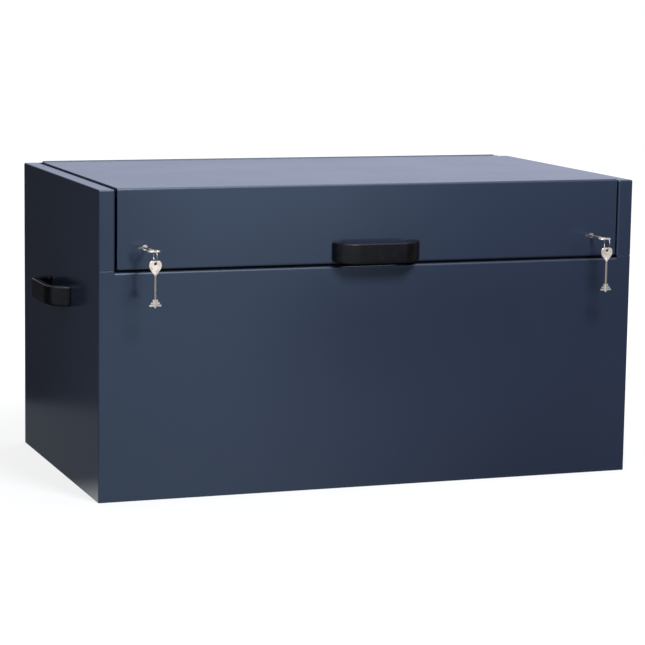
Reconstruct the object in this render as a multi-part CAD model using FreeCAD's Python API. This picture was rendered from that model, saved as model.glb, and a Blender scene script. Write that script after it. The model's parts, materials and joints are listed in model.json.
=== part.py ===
import FreeCAD, Part
import math
import os

from FreeCAD import Vector

# Site security box: a sheet steel chest with a folded lid that drops down its front,
# two key locks, two gas struts, a full-width hinge and three plastic handles.
# Millimetres. X to the right, Y to the back, Z up. The origin is on the ground,
# under the middle of the chest's body.

# Driving dimensions of the body
WIDTH = 1200.0
DEPTH = 660.0
RIM_Z = 645.0
SHEET = 2.0
STRIP = 34.0
BODY_BEND = 3.5

# Driving dimensions of the lid
LID_PROUD = 2.6
LID_SIDE_GAP = 5.0
FLAP_BOTTOM = 480.0
LID_BEND = 5.0
LID_CORNER = 5.0

# Front panel: its folded top edge, and the tabs that reach up to the side strips
PANEL_TOP = 475.4
TAB_TOP = 479.4
TAB_EDGE = 1.7
STRIP_FOOT = 480.1
PANEL_RETURN = 22.0

# Hinge along the rear edge
PIN_RADIUS = 2.5
KNUCKLE_RADIUS = 5.5
HINGE_INSET = 6.0
HINGE_PROUD = 4.1
HINGE_LENGTH = 1116.0
KNUCKLE_COUNT = 18
KNUCKLE_GAP = 0.5
EAR_GAP = 0.8

# Gas struts: both studs lie STRUT_ARM from the hinge line
STRUT_ARM = 250.0
STRUT_LID_ANGLE = 8.0
STRUT_CLOSED_ANGLE = 70.0
LID_TRAVEL = 85.0
STRUT_X = 530.0
STUD_RADIUS = 4.0

# Handles
HANDLE_LENGTH = 194.0
HANDLE_GRIP = 150.0
HANDLE_HEIGHT = 44.0
HANDLE_REACH = 48.0
HANDLE_LEG = 27.0
HANDLE_THICKNESS = 16.0
HANDLE_HOLE_RADIUS = 4.3
FRONT_HANDLE_Z = 505.0
SIDE_HANDLE_Z = 396.0

# Locks and keys
LOCK_X = 503.0
LOCK_Z = 525.5
KEY_LENGTH = 96.0
KEY_SHANK_RADIUS = 2.4
BIT_WIDTH = 25.0
BIT_LENGTH = 14.0
BIT_END = 3.5
KEY_THICKNESS = 2.8
BUSH_RADIUS = 5.5
BUSH_PROUD = 1.8
BOLT_THROW = 24.0

# Holes for bolting the chest to a floor
FLOOR_HOLE_RADIUS = 6.5
FLOOR_HOLE_X = 500.0
FLOOR_HOLE_Y = 240.0

# Faces worked out from the driving dimensions
HALF_W = WIDTH / 2
FRONT = -DEPTH / 2
BACK = DEPTH / 2
INSIDE_FRONT = FRONT + SHEET
INSIDE_BACK = BACK - SHEET
INSIDE_SIDE = HALF_W - SHEET
STRIP_INNER = HALF_W - STRIP
LID_HALF = STRIP_INNER - LID_SIDE_GAP
LID_TOP = RIM_Z + LID_PROUD
LID_UNDER = LID_TOP - SHEET
HINGE_Y = BACK - HINGE_INSET
HINGE_Z = RIM_Z + HINGE_PROUD - KNUCKLE_RADIUS
LID_REAR = HINGE_Y - KNUCKLE_RADIUS - 1.0


# The lock bolt's head, behind the lid's front, and the top of the ledge under the lid
BOLT_Y = (FRONT + 12.0, FRONT + 26.0)
BOLT_Z = (LOCK_Z - 14.0, LOCK_Z + 14.0)
LEDGE_Z = 602.0

# Distance of a handle's bolts from its middle
HANDLE_BOLT_X = (HANDLE_LENGTH - HANDLE_LEG) / 2

X_AXIS = Vector(1, 0, 0)
Y_AXIS = Vector(0, 1, 0)
Z_AXIS = Vector(0, 0, 1)


def box(x0, x1, y0, y1, z0, z1):
    """Block between two corners, given in any order along each axis."""
    low = Vector(min(x0, x1), min(y0, y1), min(z0, z1))
    return Part.makeBox(abs(x1 - x0), abs(y1 - y0), abs(z1 - z0), low)


def rod(start, end, radius):
    """Round bar from one point to another."""
    return Part.makeCylinder(radius, (end - start).Length, start, end - start)


def tube(start, end, radius, bore):
    """Round bar with a bore right through it."""
    return rod(start, end, radius).cut(rod(start, end, bore))


def joined(shapes):
    """One solid made of touching shapes, with its seams removed."""
    return shapes[0].multiFuse(shapes[1:]).removeSplitter()


def mirrored(shape):
    """The same piece for the other side of the chest."""
    return shape.mirror(Vector(0, 0, 0), X_AXIS)


def lifted(point, plane):
    """Puts a profile point into space: plane names its two axes in order."""
    place = {"XY": (0, 1), "XZ": (0, 2), "YZ": (1, 2)}[plane]
    values = [0.0, 0.0, 0.0]
    values[place[0]] = point[0]
    values[place[1]] = point[1]
    return Vector(*values)


def folded(points, radius, plane, start, end, thickness=SHEET):
    """Sheet folded along the line through points, with outer bends of the radius."""
    middle = radius - thickness / 2
    sides = {1: [], -1: []}
    paths = [Vector(p[0], p[1], 0) for p in points]
    for side in sides:
        offset = side * thickness / 2
        edges = []
        first = (paths[1] - paths[0]).normalize()
        here = paths[0] + Vector(-first.y, first.x, 0) * offset
        for before, corner, after in zip(paths, paths[1:], paths[2:]):
            come = (corner - before).normalize()
            go = (after - corner).normalize()
            turn = come.x * go.y - come.y * go.x
            angle = come.getAngle(go)
            run = middle * math.tan(angle / 2)
            hand = 1 if turn > 0 else -1
            centre = corner - come * run + Vector(-come.y, come.x, 0) * hand * middle
            arc_radius = middle - hand * offset
            enter = corner - come * run + Vector(-come.y, come.x, 0) * offset
            leave = corner + go * run + Vector(-go.y, go.x, 0) * offset
            crown = centre + (corner - centre).normalize() * arc_radius
            edges.append((here, enter))
            edges.append((enter, crown, leave))
            here = leave
        last = (paths[-1] - paths[-2]).normalize()
        edges.append((here, paths[-1] + Vector(-last.y, last.x, 0) * offset))
        sides[side] = edges
    caps = [(sides[1][-1][-1], sides[-1][-1][-1]), (sides[-1][0][0], sides[1][0][0])]
    wire_edges = []
    for run in sides[1] + sides[-1] + caps:
        spots = [lifted((p.x, p.y), plane) for p in run]
        if len(spots) == 2:
            wire_edges.append(Part.LineSegment(*spots).toShape())
        else:
            wire_edges.append(Part.Arc(*spots).toShape())
    wire = Part.Wire(Part.__sortEdges__(wire_edges))
    axis = {"XY": Z_AXIS, "XZ": Y_AXIS, "YZ": X_AXIS}[plane]
    face = Part.Face(wire)
    face.translate(axis * start)
    return face.extrude(axis * (end - start))


def rounded(shape, radius, wanted):
    """Fillets the straight edges whose middle point and direction pass the test."""
    chosen = []
    for edge in shape.Edges:
        if edge.Curve.TypeId != "Part::GeomLine":
            continue
        middle = edge.valueAt((edge.FirstParameter + edge.LastParameter) / 2)
        direction = edge.tangentAt(edge.FirstParameter)
        if wanted(middle, direction):
            chosen.append(edge)
    return shape.makeFillet(radius, chosen)


def prism(points, plane, start, end):
    """Flat outline made solid between two heights on the third axis."""
    spots = [lifted(p, plane) for p in points]
    spots.append(spots[0])
    axis = {"XY": Z_AXIS, "XZ": Y_AXIS, "YZ": X_AXIS}[plane]
    face = Part.Face(Part.makePolygon(spots))
    face.translate(axis * start)
    return face.extrude(axis * (end - start))


def turned(shape, point, direction, degrees):
    """A turned copy of a shape."""
    copy = shape.copy()
    copy.rotate(point, direction, degrees)
    return copy


# Pieces of the body. Handed pieces are made on the right side and mirrored.

def base_panel():
    """Floor tray with its rim folded up and four holes for floor bolts."""
    rim = 28.0
    long_way = folded([(-INSIDE_SIDE + 1.2, rim), (-INSIDE_SIDE + 1.2, 1), (INSIDE_SIDE - 1.2, 1),
                       (INSIDE_SIDE - 1.2, rim)], BODY_BEND, "XZ", INSIDE_FRONT + 8, INSIDE_BACK - 8)
    short_way = folded([(INSIDE_FRONT + 1.2, rim), (INSIDE_FRONT + 1.2, 1), (INSIDE_BACK - 1.2, 1),
                        (INSIDE_BACK - 1.2, rim)], BODY_BEND, "YZ", -INSIDE_SIDE + 8, INSIDE_SIDE - 8)
    tray = joined([long_way, short_way])
    for x in (-FLOOR_HOLE_X, FLOOR_HOLE_X):
        for y in (-FLOOR_HOLE_Y, FLOOR_HOLE_Y):
            tray = tray.cut(rod(Vector(x, y, -1), Vector(x, y, SHEET + 1), FLOOR_HOLE_RADIUS))
    return tray


def front_panel():
    """Front sheet, wrapped round both corners, with a folded top edge and end tabs."""
    shoulder = PANEL_TOP - 8
    wrap = [(-HALF_W + 1, FRONT + PANEL_RETURN), (-HALF_W + 1, FRONT + 1),
            (HALF_W - 1, FRONT + 1), (HALF_W - 1, FRONT + PANEL_RETURN)]
    sheet = folded(wrap, BODY_BEND, "XY", 0, TAB_TOP)
    notch = box(-STRIP_INNER, STRIP_INNER, FRONT - 1, FRONT + 60, shoulder, TAB_TOP + 1)
    corner = 3.0
    chamfer = prism([(STRIP_INNER - 0.01, shoulder), (STRIP_INNER + corner, TAB_TOP + 0.01),
                     (STRIP_INNER - 0.01, TAB_TOP + 0.01)], "XZ", FRONT - 1, FRONT + 60)
    chamfer = chamfer.cut(box(STRIP_INNER - 1, STRIP_INNER + corner, FRONT - 1, FRONT + 60,
                              shoulder - 1, TAB_TOP - corner))
    sheet = sheet.cut(joined([notch, chamfer])).cut(mirrored(chamfer))

    def tab_top(middle, direction):
        return abs(middle.z - TAB_TOP) < 0.1 and abs(middle.y - FRONT) < 0.1 and abs(direction.x) > 0.9

    sheet = rounded(sheet, TAB_EDGE, tab_top)
    edge = [(FRONT + 1, shoulder), (FRONT + 1, PANEL_TOP - 1), (FRONT + 24, PANEL_TOP - 1),
            (FRONT + 24, PANEL_TOP - 16)]
    return joined([sheet, folded(edge, LID_BEND, "YZ", -STRIP_INNER, STRIP_INNER)])


def back_panel():
    """Rear sheet between the side panels, with an ear at each end, under the rim and behind the lid's gap."""
    sheet = box(-INSIDE_SIDE, INSIDE_SIDE, INSIDE_BACK, BACK, 0, HINGE_Z - KNUCKLE_RADIUS)
    ear = box(STRIP_INNER, INSIDE_SIDE, INSIDE_BACK, BACK, 0, RIM_Z - SHEET)
    tongue = box(HINGE_LENGTH / 2 + EAR_GAP, STRIP_INNER, INSIDE_BACK, BACK, 0, RIM_Z)
    return joined([sheet] + [side for piece in (ear, tongue) for side in (piece, mirrored(piece))])


def side_panel():
    """Side sheet whose top and upper front fold in to make the rim beside the lid."""
    depth = 33.0
    outer = joined([
        box(STRIP_INNER, HALF_W, FRONT, BACK, RIM_Z - depth, RIM_Z),
        box(STRIP_INNER, HALF_W, FRONT, FRONT + 30, STRIP_FOOT, RIM_Z),
        box(INSIDE_SIDE, HALF_W, FRONT + PANEL_RETURN, BACK, 0, RIM_Z),
        box(INSIDE_SIDE, HALF_W, FRONT, BACK, STRIP_FOOT, RIM_Z)])

    def folds(middle, direction):
        on_side = abs(middle.x - HALF_W) < 0.1 or abs(middle.x - STRIP_INNER) < 0.1
        on_front = abs(middle.y - FRONT) < 0.1
        on_top = abs(middle.z - RIM_Z) < 0.1
        return (on_side and on_top) or (on_side and on_front) or (on_top and on_front)

    outer = rounded(outer, BODY_BEND, folds)
    hollow = joined([
        box(STRIP_INNER + SHEET, INSIDE_SIDE, INSIDE_FRONT, BACK + 1, RIM_Z - depth - 1, RIM_Z - SHEET),
        box(STRIP_INNER + SHEET, INSIDE_SIDE, INSIDE_FRONT, FRONT + 31, STRIP_FOOT - 1, RIM_Z - SHEET)])
    ear_seat = box(STRIP_INNER - 1, INSIDE_SIDE, INSIDE_BACK, BACK + 1, 0, RIM_Z - SHEET)
    window = bolt_window(STRIP_INNER - 1, STRIP_INNER + SHEET + 1)
    return outer.cut(hollow).cut(ear_seat).cut(window)


def bolt_window(x0, x1):
    """Slot that the lock bolt passes through, between two distances from the middle."""
    clear = 1.5
    return box(x0, x1, BOLT_Y[0] - clear, BOLT_Y[1] + clear, BOLT_Z[0] - clear, BOLT_Z[1] + clear)


def rebate_ledge():
    """Angle inside the rim that closes the gap beside the lid and carries its seal."""
    start = STRIP_INNER + SHEET + 1
    lip = start - 16
    points = [(start, RIM_Z - 16), (start, LEDGE_Z - 1), (lip, LEDGE_Z - 1), (lip, LEDGE_Z + 5)]
    return folded(points, 3, "XZ", FRONT + 32, HINGE_Y - 20)


def front_rail():
    """Box rail behind the front panel's top, with a lip that rises behind the lid's edge."""
    points = [(INSIDE_FRONT + 1, 436), (FRONT + 40, 436), (FRONT + 40, 498)]
    rail = folded(points, BODY_BEND, "YZ", -INSIDE_SIDE + 0.5, INSIDE_SIDE - 0.5)
    ends = box(-INSIDE_SIDE + 0.5, INSIDE_SIDE - 0.5, FRONT + 38, FRONT + 42, 478, 499)
    middle = box(-STRIP_INNER + 4, STRIP_INNER - 4, FRONT + 38, FRONT + 42, 478, 499)
    return rail.cut(ends.cut(middle))


def lid_seal():
    """Foam strips under the lid's edges: one along each ledge and one across the front."""
    side = box(LID_HALF - 5.5, LID_HALF + 3, FRONT + 34, HINGE_Y - 20, LEDGE_Z, 610.4)
    front = box(-STRIP_INNER + 2, STRIP_INNER - 2, FRONT + 8, FRONT + 20, PANEL_TOP, FLAP_BOTTOM - 0.6)
    return Part.Compound([side, mirrored(side), front])


def bolt_keep():
    """Slotted plate behind the rim that the lock bolt shoots into."""
    start = STRIP_INNER + SHEET
    plate = box(start, start + 3, FRONT + 5, FRONT + 29, LOCK_Z - 34, LOCK_Z + 34)
    return plate.cut(bolt_window(start - 1, start + 4))


def knuckles(parity, arm):
    """Every other knuckle of the hinge, each with the finger that joins it to its leaf."""
    pitch = HINGE_LENGTH / KNUCKLE_COUNT
    axis = Vector(0, HINGE_Y, HINGE_Z)
    pieces = []
    for number in range(parity, KNUCKLE_COUNT, 2):
        left = -HINGE_LENGTH / 2 + number * pitch + KNUCKLE_GAP / 2
        right = left + pitch - KNUCKLE_GAP
        barrel = rod(axis + X_AXIS * left, axis + X_AXIS * right, KNUCKLE_RADIUS)
        pieces.append(joined([barrel, arm(left, right)]))
    return pieces


def pin_bore(radius):
    """The space of the hinge pin, or of the bore round it."""
    axis = Vector(0, HINGE_Y, HINGE_Z)
    return rod(axis - X_AXIS * (HINGE_LENGTH / 2 + 2), axis + X_AXIS * (HINGE_LENGTH / 2 + 2), radius)


def hinge_body_leaf():
    """Hinge half welded inside the back panel."""
    top = HINGE_Z - KNUCKLE_RADIUS - 0.4
    leaf = box(-HINGE_LENGTH / 2, HINGE_LENGTH / 2, INSIDE_BACK - SHEET, INSIDE_BACK, top - 34, top)

    def arm(left, right):
        return box(left, right, INSIDE_BACK - SHEET, INSIDE_BACK, top - 1, HINGE_Z)

    return joined([leaf] + knuckles(0, arm)).cut(pin_bore(PIN_RADIUS))


def hinge_lid_leaf():
    """Hinge half welded under the lid."""
    rear = HINGE_Y - KNUCKLE_RADIUS - 0.4
    leaf = box(-HINGE_LENGTH / 2, HINGE_LENGTH / 2, rear - 30, rear, LID_UNDER - SHEET, LID_UNDER)

    def arm(left, right):
        return box(left, right, rear - 1, HINGE_Y, LID_UNDER - SHEET, LID_UNDER)

    return joined([leaf] + knuckles(1, arm)).cut(pin_bore(PIN_RADIUS + 0.08))


def hinge_pin():
    """Steel wire through all the knuckles."""
    return pin_bore(PIN_RADIUS)


def strut_point(degrees):
    """Point on the circle round the hinge line, at an angle below the closed lid."""
    angle = math.radians(degrees)
    return Vector(STRUT_X, HINGE_Y - STRUT_ARM * math.cos(angle), HINGE_Z - STRUT_ARM * math.sin(angle))


LID_STUD = strut_point(STRUT_LID_ANGLE)
BODY_STUD = strut_point(STRUT_LID_ANGLE + STRUT_CLOSED_ANGLE)
STUD_END = STRUT_X - 8.0


def stud(centre, root):
    """Headed pin that a strut's eye turns on, from its root inwards."""
    start = Vector(root, centre.y, centre.z)
    end = Vector(STUD_END, centre.y, centre.z)
    head = rod(end, end + X_AXIS * 2.4, 6.5)
    return joined([rod(start, end, STUD_RADIUS), head])


def strut_wall_bracket():
    """Hat-shaped bracket on the side panel that holds the strut's lower stud."""
    y, web, foot = BODY_STUD.y, STRUT_X + 19, INSIDE_SIDE - 1
    points = [(foot, y - 44), (foot, y - 24), (web, y - 24), (web, y + 24), (foot, y + 24), (foot, y + 42)]
    hat = folded(points, 4, "XY", BODY_STUD.z - 20, BODY_STUD.z + 20)
    return hat.cut(rod(Vector(STRUT_X, y, BODY_STUD.z), Vector(HALF_W, y, BODY_STUD.z), STUD_RADIUS))


def strut_lid_bracket():
    """Angle under the lid that holds the strut's upper stud."""
    ear = STRUT_X + 12
    points = [(ear - 26, LID_UNDER - 1), (ear, LID_UNDER - 1), (ear, LID_STUD.z - 11)]
    angle = folded(points, 3, "XZ", LID_STUD.y - 20, LID_STUD.y + 20)
    return angle.cut(rod(LID_STUD, LID_STUD + X_AXIS * 30, STUD_RADIUS))


def strut_wall_stud():
    """Lower stud, with its nut behind the wall bracket."""
    pin = stud(BODY_STUD, STRUT_X + 26)
    collar = Vector(STRUT_X + 6, BODY_STUD.y, BODY_STUD.z)
    nut = Vector(STRUT_X + 20, BODY_STUD.y, BODY_STUD.z)
    return joined([pin, rod(collar, collar + X_AXIS * 12, 6), hexagon(nut, X_AXIS, 6.5, 5)])


def strut_lid_stud():
    """Upper stud, with its nut behind the lid bracket."""
    pin = stud(LID_STUD, STRUT_X + 18)
    collar = Vector(STRUT_X + 6, LID_STUD.y, LID_STUD.z)
    nut = Vector(STRUT_X + 13, LID_STUD.y, LID_STUD.z)
    return joined([pin, rod(collar, collar + X_AXIS * 5, 6), hexagon(nut, X_AXIS, 6.5, 4.5)])


def hexagon(start, direction, radius, height):
    """Six-sided nut or bolt head standing on a point."""
    side = direction.cross(Z_AXIS if abs(direction.z) < 0.9 else X_AXIS).normalize()
    corner = side * (radius / math.cos(math.pi / 6))
    turn = FreeCAD.Rotation(direction, 60)
    spots = []
    for _ in range(6):
        spots.append(start + corner)
        corner = turn.multVec(corner)
    spots.append(spots[0])
    return Part.Face(Part.makePolygon(spots)).extrude(direction * height)


# Gas struts
STRUT_LINE = (LID_STUD - BODY_STUD).normalize()
STRUT_CLOSED = (LID_STUD - BODY_STUD).Length
TUBE_RADIUS = 9.5
TUBE_LENGTH = STRUT_CLOSED - 52.0
ROD_RADIUS = 4.0
EYE_RADIUS = 8.0
EYE_WIDTH = 9.0


def eye(centre):
    """Ring of a strut's end fitting."""
    half = X_AXIS * (EYE_WIDTH / 2)
    return rod(centre - half, centre + half, EYE_RADIUS)


def eye_bore(centre):
    """Bore of an eye, a running fit on its stud."""
    return rod(centre - X_AXIS * EYE_WIDTH, centre + X_AXIS * EYE_WIDTH, STUD_RADIUS + 0.08)


def strut_cylinder():
    """Gas strut's tube with its lower eye and its gland."""
    neck_end = BODY_STUD + STRUT_LINE * 18
    far_end = neck_end + STRUT_LINE * TUBE_LENGTH
    shell = rod(neck_end, far_end, TUBE_RADIUS)
    shell = rounded_ends(shell, 1.5)
    body = joined([eye(BODY_STUD), rod(BODY_STUD, neck_end + STRUT_LINE, 5), shell])
    chamber = rod(neck_end + STRUT_LINE * 4, far_end - STRUT_LINE * 14, TUBE_RADIUS - 1.5)
    gland = rod(far_end - STRUT_LINE * 15, far_end + STRUT_LINE, ROD_RADIUS + 0.1)
    return body.cut(chamber).cut(gland).cut(eye_bore(BODY_STUD))


def rounded_ends(shape, radius):
    """Rounds the circular rims of a round bar."""
    rims = [edge for edge in shape.Edges if edge.Curve.TypeId == "Part::GeomCircle"]
    return shape.makeFillet(radius, rims)


def strut_rod():
    """Gas strut's rod with its piston and its upper eye."""
    piston_at = BODY_STUD + STRUT_LINE * 26
    piston = rod(piston_at, piston_at + STRUT_LINE * 6, TUBE_RADIUS - 1.8)
    shaft = rod(piston_at, LID_STUD, ROD_RADIUS)
    neck = rod(LID_STUD, LID_STUD - STRUT_LINE * 22, 5.5)
    return joined([piston, shaft, neck, eye(LID_STUD)]).cut(eye_bore(LID_STUD))


# Pieces of the lid

def lid_skin():
    """Top and drop-down front in one folded sheet, with a return and two keyholes."""
    points = [(LID_REAR, LID_TOP - 1), (FRONT + 1, LID_TOP - 1), (FRONT + 1, FLAP_BOTTOM + 1),
              (FRONT + 22, FLAP_BOTTOM + 1)]
    skin = folded(points, LID_BEND, "YZ", -LID_HALF, LID_HALF)
    skin = skin.cut(lid_corner()).cut(mirrored(lid_corner()))
    for x in (-LOCK_X, LOCK_X):
        skin = skin.cut(keyhole(x, BUSH_RADIUS + 0.2))
    return skin


def lid_corner():
    """What is cut off the lid's lower front corner to round it."""
    x, z = LID_HALF - LID_CORNER, FLAP_BOTTOM + LID_CORNER
    block = box(x, LID_HALF + 1, FRONT - 1, FRONT + 60, FLAP_BOTTOM - 1, z)
    return block.cut(rod(Vector(x, FRONT - 2, z), Vector(x, FRONT + 61, z), LID_CORNER))


def keyhole(x, radius):
    """Round hole of a radius with a slot each side, right through the lid's front."""
    hole = rod(Vector(x, FRONT - 5, LOCK_Z), Vector(x, FRONT + 8, LOCK_Z), radius)
    slot_half = BIT_WIDTH / 2 + 1
    slot = box(x - slot_half, x + slot_half, FRONT - 5, FRONT + 8, LOCK_Z - 2, LOCK_Z + 2)
    return joined([hole, slot])


def lid_cheek():
    """Plate that closes the lid's side, with a window for the lock bolt."""
    inner = LID_HALF - SHEET
    top = box(inner, LID_HALF, INSIDE_FRONT, LID_REAR, 611, LID_UNDER)
    front = box(inner, LID_HALF, INSIDE_FRONT, FRONT + 30, FLAP_BOTTOM + SHEET, LID_UNDER)

    def under_bends(middle, direction):
        at_end = abs(middle.z - LID_UNDER) < 0.1 or abs(middle.z - FLAP_BOTTOM - SHEET) < 0.1
        return at_end and abs(middle.y - INSIDE_FRONT) < 0.1 and abs(direction.x) > 0.9

    cheek = rounded(joined([top, front]), LID_BEND - SHEET + 0.2, under_bends)
    return cheek.cut(bolt_window(inner - 1, LID_HALF + 1)).cut(lid_corner())


def lid_stiffeners():
    """Two hat sections across the underside of the lid's top."""
    hats = []
    for y in (-170.0, 60.0):
        top, low = LID_UNDER - 1, LID_UNDER - 21
        points = [(y - 36, top), (y - 20, top), (y - 14, low), (y + 14, low), (y + 20, top), (y + 36, top)]
        hats.append(folded(points, 3, "YZ", -(STRUT_X - 24), STRUT_X - 24))
    return Part.Compound(hats)


# Handles: each is made on the front and turned to its own face

def bridge_handle():
    """Moulded grip on two splayed legs, standing out from the plane Y = 0 towards -Y."""
    foot, grip, reach = HANDLE_LENGTH / 2, HANDLE_GRIP / 2, HANDLE_REACH
    half = HANDLE_HEIGHT / 2
    outer = prism([(-foot, 0), (-foot, -11), (-grip, -reach), (grip, -reach), (foot, -11), (foot, 0)],
                  "XY", -half, half)
    thick, leg = HANDLE_THICKNESS, HANDLE_LEG
    inner = prism([(-foot + leg, 1), (-foot + leg, -9), (-grip + 15, -reach + thick),
                   (grip - 15, -reach + thick), (foot - leg, -9), (foot - leg, 1)],
                  "XY", -half - 1, half + 1)

    def upright(middle, direction):
        return abs(direction.z) > 0.9 and middle.y < -5

    outer = rounded(outer, 14, upright)
    inner = rounded(inner, 6, upright)
    body = outer.cut(inner)

    def outline(edge):
        middle = edge.valueAt((edge.FirstParameter + edge.LastParameter) / 2)
        return abs(abs(middle.z) - half) < 0.01 and middle.y < -0.5

    body = body.makeFillet(5.5, [edge for edge in body.Edges if outline(edge)])
    for side in (-1, 1):
        x = side * HANDLE_BOLT_X
        body = body.cut(rod(Vector(x, 1, 0), Vector(x, -16, 0), 4))
    return body


def handle_bolt():
    """Hexagon bolt for one handle leg, its head inside the sheet."""
    seat = SHEET + 1.6
    head = hexagon(Vector(0, seat, 0), Y_AXIS, 6.5, 5.3)
    return joined([head, rod(Vector(0, seat + 0.1, 0), Vector(0, -15, 0), 4)])


def handle_washer():
    """Plain washer under the bolt's head."""
    return tube(Vector(0, SHEET, 0), Vector(0, SHEET + 1.6, 0), 9.5, 4)


def on_legs(maker):
    """One piece for each leg of a handle."""
    pieces = []
    for side in (-1, 1):
        piece = maker()
        piece.translate(Vector(side * HANDLE_BOLT_X, 0, 0))
        pieces.append(piece)
    return pieces


def on_front(shape):
    """Moves a handle piece to the lid's front."""
    copy = shape.copy()
    copy.translate(Vector(0, FRONT, FRONT_HANDLE_Z))
    return copy


def on_right(shape):
    """Turns a handle piece to the right side panel."""
    copy = turned(shape, Vector(0, 0, 0), Z_AXIS, 90)
    copy.translate(Vector(HALF_W, 0, SIDE_HANDLE_Z))
    return copy


def handle_holes(shape, place):
    """Clearance holes in the sheet for a handle's two bolts."""
    for side in (-1, 1):
        x = side * HANDLE_BOLT_X
        shape = shape.cut(place(rod(Vector(x, -1, 0), Vector(x, SHEET + 1, 0), HANDLE_HOLE_RADIUS)))
    return shape


# Locks, made on the right side and mirrored

CASE_Y = (FRONT + 5.0, FRONT + 29.0)
CASE_X = (LOCK_X - 48.0, LOCK_X + 41.0)
CASE_Z = (LOCK_Z - 27.5, LOCK_Z + 27.5)
CASE_WALL = 2.0
DRUM_RADIUS = 14.0
DRUM_Y = (FRONT + 5.4, FRONT + 23.8)
RING_RADIUS = 17.0
FIXING_X = (CASE_X[0] + 6.0, CASE_X[1] - 6.0)
FIXING_Z = (CASE_Z[0] + 6.0, CASE_Z[1] - 6.0)


def keyhole_plate():
    """Hard plate behind the lid's front, with the keyhole's bush standing through the sheet."""
    plate = box(LOCK_X - 32, LOCK_X + 32, INSIDE_FRONT, FRONT + 5, LOCK_Z - 20, LOCK_Z + 20)
    bush = rod(Vector(LOCK_X, FRONT + 4, LOCK_Z), Vector(LOCK_X, FRONT - BUSH_PROUD, LOCK_Z), BUSH_RADIUS)
    return joined([plate, bush]).cut(keyhole(LOCK_X, KEY_SHANK_RADIUS + 0.8))


def lock_case():
    """Lock body: a box open towards the hard plate, with a bearing for the drum."""
    shell = box(CASE_X[0], CASE_X[1], CASE_Y[0], CASE_Y[1], CASE_Z[0], CASE_Z[1])
    hollow = box(CASE_X[0] + CASE_WALL, CASE_X[1] - CASE_WALL, CASE_Y[0] - 1, CASE_Y[1] - CASE_WALL,
                 CASE_Z[0] + CASE_WALL, CASE_Z[1] - CASE_WALL)
    start, end = Vector(LOCK_X, CASE_Y[0], LOCK_Z), Vector(LOCK_X, DRUM_Y[1] - 0.4, LOCK_Z)
    web = box(LOCK_X - 2, LOCK_X + 2, CASE_Y[0], DRUM_Y[1] - 0.4, CASE_Z[0] + 1, CASE_Z[1] - 1)
    bearing = joined([rod(start, end, RING_RADIUS), web])
    bearing = bearing.cut(rod(start - Y_AXIS, end + Y_AXIS, DRUM_RADIUS + 0.3))
    case = joined([shell.cut(hollow), bearing])
    case = case.cut(bolt_window(CASE_X[1] - CASE_WALL - 1, CASE_X[1] + 1))
    for x in FIXING_X:
        for z in FIXING_Z:
            case = case.cut(rod(Vector(x, CASE_Y[1] - 3, z), Vector(x, CASE_Y[1] + 1, z), 2.6))
    return case


def lock_nuts():
    """Four studs with their nuts, which hold the case to the lid."""
    pieces = []
    for x in FIXING_X:
        for z in FIXING_Z:
            pin = rod(Vector(x, CASE_Y[0], z), Vector(x, CASE_Y[1] + 6, z), 2.5)
            nut = hexagon(Vector(x, CASE_Y[1], z), Y_AXIS, 4, 4)
            pieces.append(joined([pin, nut]))
    return Part.Compound(pieces)


def lock_drum():
    """Slotted drum that the key's bit turns."""
    start, end = Vector(LOCK_X, DRUM_Y[0], LOCK_Z), Vector(LOCK_X, DRUM_Y[1], LOCK_Z)
    drum = rod(start, end, DRUM_RADIUS)
    slot_half, deep = BIT_WIDTH / 2 + 0.6, DRUM_Y[1] - 0.9
    slot = box(LOCK_X - slot_half, LOCK_X + slot_half, DRUM_Y[0] - 1, deep, LOCK_Z - 1.7, LOCK_Z + 1.7)
    bore = rod(start - Y_AXIS, Vector(LOCK_X, deep, LOCK_Z), KEY_SHANK_RADIUS + 0.4)
    return drum.cut(slot).cut(bore)


def lock_bolt():
    """Steel bolt with the thin tail that runs behind the drum."""
    end = LID_HALF - 6
    head = box(end - 29, end, BOLT_Y[0], BOLT_Y[1], BOLT_Z[0], BOLT_Z[1])
    tail = box(LOCK_X - 20, end - 20, BOLT_Y[1] - 2, BOLT_Y[1], LOCK_Z - 8, LOCK_Z + 8)
    return joined([head, tail])


def lock_levers():
    """Stack of thin levers on their pivot, beside the drum."""
    middle = CASE_X[0] + 20.0
    pivot_z = CASE_Z[1] - 9.0
    pieces = [rod(Vector(middle, CASE_Y[0] + 1, pivot_z), Vector(middle, CASE_Y[1] - CASE_WALL, pivot_z), 2)]
    for number in range(5):
        y = CASE_Y[0] + 2 + number * 2.6
        lever = box(middle - 8, middle + 8, y, y + 1.6, CASE_Z[0] + 8, CASE_Z[1] - 4)
        pieces.append(lever.cut(rod(Vector(middle, y - 1, pivot_z), Vector(middle, y + 3, pivot_z), 2.1)))
    return Part.Compound(pieces)


# Keys. A key is made hanging from the origin: its bow's top edge is at Z = 0.

BOW_WIDTH = 26.0
BOW_HEIGHT = 34.0
BOW_HOLE_RADIUS = 3.2
BOW_HOLE_DOWN = 6.2


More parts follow.
